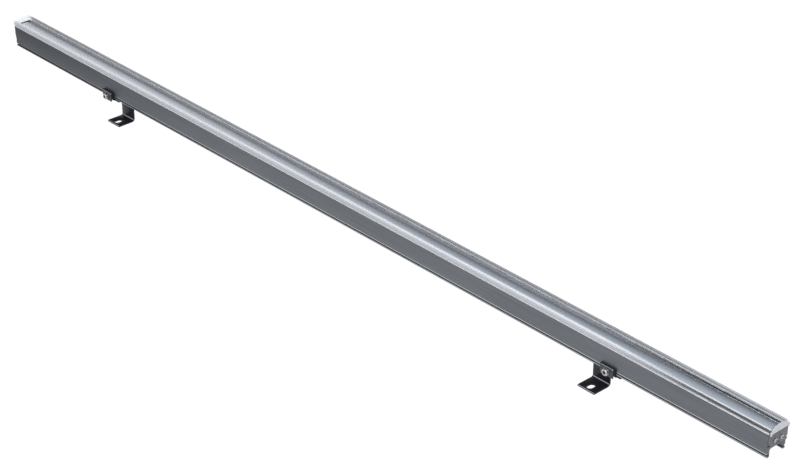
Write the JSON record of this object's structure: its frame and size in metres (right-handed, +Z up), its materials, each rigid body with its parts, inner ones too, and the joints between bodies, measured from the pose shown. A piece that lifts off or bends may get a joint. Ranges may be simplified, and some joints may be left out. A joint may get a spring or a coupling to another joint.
{
  "type": "linear wall washer light",
  "caption": "Slim linear outdoor wall washer: H-section aluminium bar, clear domed cover over a lens strip, closed ends, and clamp brackets that slide along the bar.",
  "frame": {"origin": "midway between the two foot slots, on the underside of the feet", "axes": "+X along the bar, +Y to the back of the bar (the clamp screws are at the front, -Y), +Z up, the way the dome faces"},
  "size_m": [1.005, 0.0306, 0.0521],
  "materials": {
    "housing": "satin grey anodised",
    "cover": "clear polycarbonate",
    "seal": "milky silicone",
    "lens": "clear acrylic with a fine haze",
    "board": "white solder mask",
    "led": "pale phosphor under a clear bead",
    "board_parts": "black moulded chips and resistors",
    "link": "ivory moulded body",
    "screw": "bright stainless",
    "pad": "grey thermal pad",
    "dome_end": "milky moulded plastic",
    "end_plate": "dark grey anodised",
    "gasket": "black silicone",
    "grommet": "black rubber",
    "wire": "red and black insulation",
    "bracket": "satin black powder coat",
    "block": "dark anodised",
    "washer": "spring steel"
  },
  "bodies": {
    "bar": {"housing": "housing", "cover": "cover", "cover_seal_front": "seal", "cover_seal_rear": "seal", "lens_strip": "lens", "board_link": "link", "board_screws": "screw", "led_board_left": "board", "led_chips_left": "led", "board_parts_left": "board_parts", "thermal_pad_left": "pad", "dome_end_left": "dome_end", "end_plate_left": "end_plate", "end_gasket_left": "gasket", "end_screws_left": "screw", "cable_grommet_left": "grommet", "feed_wires_left": "wire", "led_board_right": "board", "led_chips_right": "led", "board_parts_right": "board_parts", "thermal_pad_right": "pad", "dome_end_right": "dome_end", "end_plate_right": "end_plate", "end_gasket_right": "gasket", "end_screws_right": "screw", "cable_grommet_right": "grommet", "feed_wires_right": "wire"},
    "bracket_left": {"bracket_left": "bracket", "clamp_block_left": "block", "clamp_washer_left": "washer"},
    "clamp_screw_left": {"clamp_screw_left": "screw"},
    "bracket_right": {"bracket_right": "bracket", "clamp_block_right": "block", "clamp_washer_right": "washer"},
    "clamp_screw_right": {"clamp_screw_right": "screw"}
  },
  "joints": [
    {"name": "bracket_left_slide", "type": "slide", "parent": "bar", "child": "bracket_left", "axis": [-1, 0, 0], "range_m": [-0.3, 0.15]},
    {"name": "clamp_screw_left_turn", "type": "hinge", "parent": "bracket_left", "child": "clamp_screw_left", "pos_m": [-0.338, -0.002, 0.02375], "axis": [0, -1, 0], "continuous": true},
    {"name": "bracket_right_slide", "type": "slide", "parent": "bar", "child": "bracket_right", "axis": [1, 0, 0], "range_m": [-0.3, 0.15]},
    {"name": "clamp_screw_right_turn", "type": "hinge", "parent": "bracket_right", "child": "clamp_screw_right", "pos_m": [0.338, -0.002, 0.02375], "axis": [0, -1, 0], "continuous": true}
  ]
}
